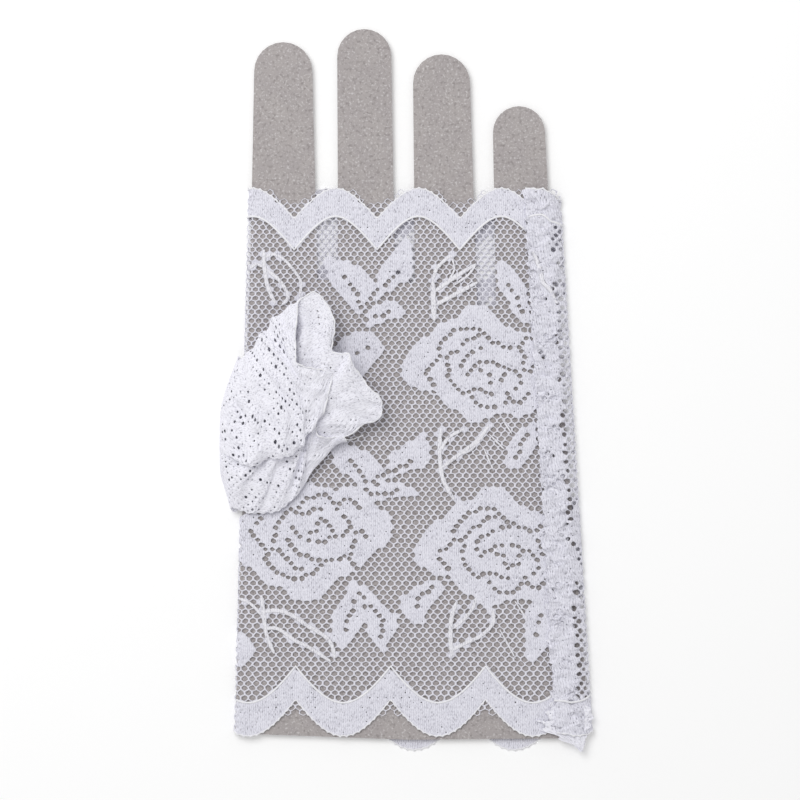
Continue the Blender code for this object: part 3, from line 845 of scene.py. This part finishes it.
for end, name, node in ((0, "finger_edge_picots", "finger_edge_cord"),
                        (1, "wrist_edge_picots", "wrist_edge_cord")):
    line, radius = picot_line(end)
    y = line[:, 1]
    inside = (line[:, 0] < line_x(SEAM, y)) & (line[:, 0] > far_seam(y) + 0.2)
    path = wrap_hand(line[inside], np.zeros(inside.sum()))
    picots = tubes(name, CORD_YARN, [(path, radius[inside], 0.8, False)])
    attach(picots, "glove")
    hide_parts(node)

# ---------------- side seam
# In the real glove the two raw edges of the lace are sewn right sides together and overlocked.
# The allowance lies folded towards the little finger, crumpled, under the lace of the return.
SEAM_TOP, SEAM_FOOT = 60.5, -114.8
PLY_WIDE, FOOT_WIDER = 7.2, 5.2
PLY_CELLS = 4  # cells across each ply
FOOT_TIP, FOOT_LEFT = 8.2, 3.3  # how far from the seam the foot ends, and how far it leans back
STITCHES, STITCH = 222, 0.72


def wrap_allowance(flat, height):
    """Goes out in an upper ply and back in a lower one, and runs down to a pointed foot."""
    a, y = flat[:, 0] / PLY_WIDE, flat[:, 1]
    seam = line_x(SEAM, y)
    width = PLY_WIDE + FOOT_WIDER * ease((-97.0 - y) / 7.0)
    upper = np.where(a < 1, a, 2 - a)
    x = seam + 0.5 + upper * width * (1 + 0.06 * ripple(a * 8, y, 7.0, 21))
    x = x - FOOT_LEFT * (1 - upper) * ease((-98.0 - y) / 9.0)
    turn = np.clip((a - 0.9) / 0.2, 0, 1)
    z = 3.42 - 0.85 * ease(turn) + (1 - turn) * 0.22 * ripple(x, y, 3.4, 22)
    z = z + height * (1 - 2 * ease(turn))
    tail = np.clip((-108.6 + 3.5 * upper - y) / (6.2 + 3.5 * upper), 0, 1)
    x = x + (seam + FOOT_TIP - x) * tail * 0.93
    return np.stack([x, y, z], -1)


rng = np.random.default_rng(31)
cells = hex_lattice(0, 2 * PLY_CELLS, 0, ROWS + 3)
centres = cells[0]


def allowance_flat(uv):
    t = uv[:, 1] / (ROWS + 3)
    return np.stack([uv[:, 0] * PLY_WIDE / PLY_CELLS, SEAM_TOP + (SEAM_FOOT - SEAM_TOP) * t], -1)


def allowance_home(uv):
    return flat_place(27.5 - uv[:, 0], uv[:, 1])


kind, drawn = sort_cells(allowance_home(centres), rng)
flat = allowance_flat(centres)
scrunched = ripple(flat[:, 0], flat[:, 1], 9.0, 23) > -0.7
kind[kind == OUTSIDE] = CLOSED
kind[scrunched & (kind == NET)] = CLOSED
kind[(kind == CLOSED) & (rng.random(len(kind)) < 0.3)] = SPECK
allowance = lace_mesh("seam_allowance_lace", LIGHTENED_PLY_YARN, cells, (kind, drawn), allowance_home,
                      allowance_flat, wrap_allowance, rng)
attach(allowance, "glove")
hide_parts("side_seam_allowance")

# The overlock stitch: a thread zigzagging over the raw edges just inside the seam line
turns = np.arange(STITCHES)
y = 57.0 - turns * STITCH
x = line_x(SEAM, y) + 0.35 + 1.5 * (turns % 2)
z = 3.62 - 0.5 * (turns % 2)
overlock = tubes("side_seam_stitches", CORD_YARN, [(np.stack([x, y, z], -1), 0.17, 1.0, False)], 5)
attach(overlock, "glove")
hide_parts("side_seam_overlock")

# ---------------- thumb sleeve
# The real sleeve is a short tube of the same galloon, its scalloped edge at the open end. It is
# sewn into the thumb hole and lies crumpled over the back of the hand, with a tuck along it.
THUMB_ROWS = 34  # rows of cells from its hem to where it leaves the hand
HOLE_ROWS = 44  # and on to the thumb hole
THUMB_TURN = 2  # cells between the lower edge and a lobe of the hem
THUMB_SIDE = -59.3  # it hardly reaches past here at the fold
NET_CELL, NET_ROW = 2.2, 1.475  # its cells and rows laid flat, in mm
TUBE_R = 17.0  # its radius opened out
# Sections of the tube, by row: from its lower edge over the upper side, round the upper edge and
# back along the lower side, as x, y and z in mm
SECTIONS = {
    0: [(-19.3, -16, 5), (-24.5, -15.4, 8), (-29.4, -13, 9.6), (-26.4, -8, 10.4),
        (-25, -3, 11.6), (-24.4, 4.4, 12.6), (-26, 11.5, 13), (-33, 18, 13.2),
        (-33.4, 28.6, 11.4), (-27.6, 30.4, 10.4), (-20, 20.6, 11.2), (-15.2, 15, 10.6),
        (-13.6, 3.2, 10.4), (-8.4, -3.6, 9.4), (-5.6, -9.4, 8), (-12, -13.6, 7.2)],
    7: [(-27.5, -21, 5), (-29.4, -17.4, 7.5), (-30.4, -13, 8.6), (-30.6, -9, 9.6),
        (-31, -13, 11.2), (-31, -5, 12.6), (-33, 3, 13), (-37, 12, 12.6),
        (-39.4, 25.4, 10.2), (-31, 24.4, 10.4), (-26, 17, 11.6), (-22.5, 10.4, 11.8),
        (-21.5, 1.4, 11.6), (-18, -5, 10.2), (-16.6, -11, 8.4), (-22, -17, 6.4)],
    14: [(-34.2, -32, 4.6), (-34.4, -26, 6.5), (-35, -19.5, 8), (-35, -15, 9),
         (-35.4, -19.6, 11), (-36, -10, 12.4), (-37, 0, 12.6), (-39.6, 10, 12),
         (-43.4, 21.6, 8.4), (-38, 19, 7.4), (-34.5, 12, 9.4), (-32.5, 4, 10.4),
         (-31.5, -3.6, 10.2), (-30.5, -10.8, 9), (-30.5, -18, 6.8), (-32, -25.6, 4.8)],
    21: [(-41, -38.4, 4.4), (-42, -31.5, 6.5), (-43, -24.5, 7.5), (-42.5, -17.5, 8.2),
         (-43, -22, 10.4), (-43.5, -13, 11.6), (-44, -3, 11.6), (-45.6, 7.4, 10.6),
         (-47, 17.4, 7), (-44, 11.6, 3.6), (-43, 4.4, 3.6), (-42.5, -3, 3.6),
         (-42, -10.4, 3.6), (-41.5, -17.6, 3.6), (-41.5, -24.6, 3.6), (-41, -31.8, 3.6)],
    28: [(-50, -39.4, 4.2), (-50.5, -33.4, 6.6), (-52, -27, 7.6), (-52.6, -21, 8),
         (-52.8, -23.4, 9.4), (-52.6, -14, 9.4), (-52, -5, 9), (-51.5, 4, 7.6),
         (-50.6, 12.4, 5), (-51, 6, 3.6), (-52, 0, 3.6), (-53, -6.4, 3.6),
         (-53, -13.2, 3.6), (-53, -20, 3.6), (-52, -26.8, 3.6), (-51, -33.4, 3.6)],
    34: [(-56, -37.6, 3.6), (-57.4, -32.4, 4.6), (-59, -26.4, 5.2), (-60, -21, 5.4),
         (-60.2, -15.6, 5.4), (-59.4, -9, 5.2), (-58.2, -2.6, 4.8), (-56, 4.4, 4.2),
         (-53.8, 9.6, 3.6), (-55.8, 4, 3.6), (-57, -2, 3.7), (-57.6, -8, 3.8),
         (-57.8, -14, 3.8), (-57.8, -20, 3.8), (-57.4, -26, 3.8), (-56.8, -32, 3.6)],
    39: [(-55.8, -39, 2), (-56.8, -33.4, 1.2), (-58.6, -27, 1.2), (-59.6, -20.6, 1.2),
         (-59.6, -14, 1.2), (-58.6, -7.6, 1.2), (-57, -1, 1.2), (-55.6, 5, 1.2),
         (-54.2, 10.6, 2), (-54.6, 5, 3), (-54.6, -1, 3), (-54.6, -7.6, 3),
         (-54.8, -14, 3), (-55, -20.6, 3), (-55.2, -27, 3), (-55.6, -33, 3)],
    44: [(-54.6, -38.6, 1.5), (-50, -34, 0.1), (-48.4, -27.6, 0.1), (-47.4, -21, 0.1),
         (-47.2, -14, 0.1), (-47.4, -7, 0.1), (-48.2, -0.4, 0.1), (-49.8, 6, 0.1),
         (-54, 10.6, 1.5), (-49.8, 6, 3), (-48.2, -0.4, 3), (-47.4, -7, 3),
         (-47.2, -14, 3), (-47.4, -21, 3), (-48.4, -27.6, 3), (-50, -34, 3)],
}
SECTION_ROWS = np.array(sorted(SECTIONS), float)
SECTION_POINTS = np.array([SECTIONS[r] for r in sorted(SECTIONS)], float)


def opened(cell, row):
    """A cell's place on the tube opened out round, for ripples that meet at its ends."""
    turn = 2 * math.pi * cell / REPEAT
    return TUBE_R * np.cos(turn), TUBE_R * np.sin(turn) + 1.5 * row


def four_weights(t):
    """How a Catmull-Rom curve weighs the four points about it."""
    return np.stack([-t + 2 * t**2 - t**3, 2 - 5 * t**2 + 3 * t**3,
                     t + 4 * t**2 - 3 * t**3, -(t**2) + t**3], -1) / 2


def thumb_surface(cell, row):
    """The middle of the tube's lace at a cell and row."""
    around = (cell / REPEAT * 16) % 16
    j = np.floor(around).astype(int)
    wj = four_weights(around - j)
    row = np.clip(row, SECTION_ROWS[0] - 1, SECTION_ROWS[-1])
    i = np.clip(np.searchsorted(SECTION_ROWS, row, "right") - 1, 0, len(SECTION_ROWS) - 2)
    t = (row - SECTION_ROWS[i]) / (SECTION_ROWS[i + 1] - SECTION_ROWS[i])
    wi = four_weights(t)
    out = np.zeros((len(row), 3))
    last = len(SECTION_ROWS) - 1
    for p in range(4):
        for q in range(4):
            points = SECTION_POINTS[np.clip(i + p - 1, 0, last), (j + q - 1) % 16]
            out += wi[:, p, None] * wj[:, q, None] * points
    # crumpled away from the hand
    loose = ease((HOLE_ROWS - 8 - row) / 8) * ease((out[:, 2] - 3.4) / 3.0)
    u, v = opened(cell, row)
    out[:, 0] += loose * 0.7 * ripple(u, v, 9.0, 41)
    out[:, 1] += loose * 0.7 * ripple(u, v, 8.0, 42)
    out[:, 2] += loose * (0.75 * ripple(u, v, 10.0, 43) + 0.35 * ripple(u, v, 4.6, 44))
    out[:, 2] = np.where(row < HOLE_ROWS - 8, np.maximum(out[:, 2], 3.3), out[:, 2])
    past = np.maximum(THUMB_SIDE - out[:, 0], 0)
    out[:, 0] += past - 0.7 * (1 - np.exp(-past / 0.7))
    return out


def thumb_place(uv, height):
    cell, row = uv.T
    spot = thumb_surface(cell, row)
    along = thumb_surface(cell + 0.4, row) - thumb_surface(cell - 0.4, row)
    down = thumb_surface(cell, row + 0.4) - thumb_surface(cell, row - 0.4)
    normal = np.cross(along, down)
    normal /= np.maximum(np.linalg.norm(normal, axis=1, keepdims=True), 1e-9)
    return spot + normal * np.asarray(height)[:, None]


def thumb_home(uv):
    return home(uv - (THUMB_TURN, 0))


def thumb_wrap(flat, height):
    """Takes the lace from its own flat place, in cells and rows, to its place in space."""
    return thumb_place(np.stack([flat[:, 0] / NET_CELL, flat[:, 1] / -NET_ROW], -1), height)


def thumb_flat(uv):
    return np.stack([uv[:, 0] * NET_CELL, uv[:, 1] * -NET_ROW], -1)


def thumb_path(cells, rows, height):
    return thumb_place(np.stack([cells, rows], -1), 0 * cells + height)


def thumb_piece(name, top, bottom, seed):
    """The tube's lace between two rows, bunched nearly closed."""
    rng = np.random.default_rng(seed)
    cells = hex_lattice(0, REPEAT, top, bottom, True)
    centres = cells[0]
    kind, drawn = sort_cells(thumb_home(centres), rng)
    kind[(beyond_border(thumb_home(centres))[0] > 0.2) & (kind == NET)] = OUTSIDE
    bunched = ripple(*opened(*centres.T), 7.0, 45) > 0.1
    below = (centres[:, 0] - 25.0) % REPEAT < 20.0
    kind[(bunched | below) & (kind == NET)] = CLOSED
    kind[kind == NET] = EYELET
    kind[(kind == CLOSED) & (rng.random(len(kind)) < RETURN_SPECKLED)] = SPECK
    return lace_mesh(name, LIGHTENED_PLY_YARN, cells, (kind, drawn), thumb_home, thumb_flat, thumb_wrap,
                     rng, REPEAT * NET_CELL, (0.15, 0.42))


thumb_lace = thumb_piece("thumb_lace", -4, THUMB_ROWS, 51)
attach(thumb_lace, "thumb")
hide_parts("thumb_sleeve")

gusset = thumb_piece("thumb_gusset_lace", THUMB_ROWS, HOLE_ROWS, 52)
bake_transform(gusset)

# The picots of its hem, the thread of its own seam, and the stitches round the thumb hole
cells = np.arange(0, REPEAT, 0.24)
lobe_line = border_curve(flat_place(cells - THUMB_TURN, 0 * cells)[:, 0], FINGER_LOBE, FINGER_NOTCH, 0)
ladder = np.arange(-2.0, 10.0, 0.25)
hem_rows = np.interp(-lobe_line, -flat_place(0 * ladder, ladder)[:, 1], ladder)
hem_rows = hem_rows - 0.15 * np.maximum(0, np.sin(cells * 2 * math.pi))
hem = tubes("thumb_hem_picots", CORD_YARN, [
    (thumb_path(cells, hem_rows, 0.0), 0.26 + 0.07 * np.sin(cells * 2 * math.pi), 1.0, True)])
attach(hem, "thumb")
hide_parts("thumb_hem_cord")

rows = np.arange(1.0, THUMB_ROWS, 0.5)
zigzag = 45.5 + 0.3 * (np.arange(len(rows)) % 2)
thread = tubes("thumb_seam_thread", CORD_YARN, [(thumb_path(zigzag, rows, 0.25), 0.16, 1.0, False)], 5)
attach(thread, "thumb")
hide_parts("thumb_sleeve_seam")

cells = np.arange(0, REPEAT, 0.4)
rows = HOLE_ROWS - 0.6 - 0.7 * (np.arange(len(cells)) % 2)
stitches = tubes("thumb_hole_stitches", CORD_YARN,
                 [(thumb_path(cells, rows, 0.22), 0.16, 1.0, True)], 5)
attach(stitches, "glove")
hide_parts("thumb_hole_seam")

# ---------------- the table and the light
# A white table, an even overhead light, and a camera looking straight down.
floor_mat, _, floor_shader = new_material("table", 0.9)
floor_shader.inputs["Base Color"].default_value = (0.95, 0.95, 0.95, 1.0)
floor_shader.inputs["Emission Color"].default_value = (1.0, 1.0, 1.0, 1.0)
floor_shader.inputs["Emission Strength"].default_value = 0.12
bpy.ops.mesh.primitive_plane_add(size=6.0, location=(0, 0, -0.0001))
floor = bpy.context.active_object
floor.name = "table"
floor.data.materials.append(floor_mat)

world = bpy.data.worlds.new("studio")
bpy.context.scene.world = world
world.use_nodes = True
world.node_tree.nodes["Background"].inputs["Color"].default_value = (1.0, 1.0, 1.0, 1.0)
world.node_tree.nodes["Background"].inputs["Strength"].default_value = 0.58


LAMP_PLACE = Vector((-0.35, 0.45, 0.9))
lamp_data = bpy.data.lights.new("overhead", "AREA")
lamp_data.size, lamp_data.energy = 0.6, 5.2
lamp = bpy.data.objects.new("overhead", lamp_data)
bpy.context.collection.objects.link(lamp)
lamp.location = LAMP_PLACE
lamp.rotation_euler = (-LAMP_PLACE).to_track_quat("-Z", "Y").to_euler()

VIEW_WIDTH = 0.256  # what the camera takes in, at the glove
VIEW_CENTRE = (-0.0024, -0.0032)
CAMERA_HEIGHT = 1.1
SENSOR = 36.0  # mm
camera_data = bpy.data.cameras.new("camera")
camera_data.sensor_width = SENSOR
camera_data.lens = SENSOR * CAMERA_HEIGHT / VIEW_WIDTH
camera = bpy.data.objects.new("camera", camera_data)
bpy.context.collection.objects.link(camera)
camera.location = (*VIEW_CENTRE, CAMERA_HEIGHT + 0.003)
bpy.context.scene.camera = camera
bpy.context.scene.view_settings.view_transform = "Standard"
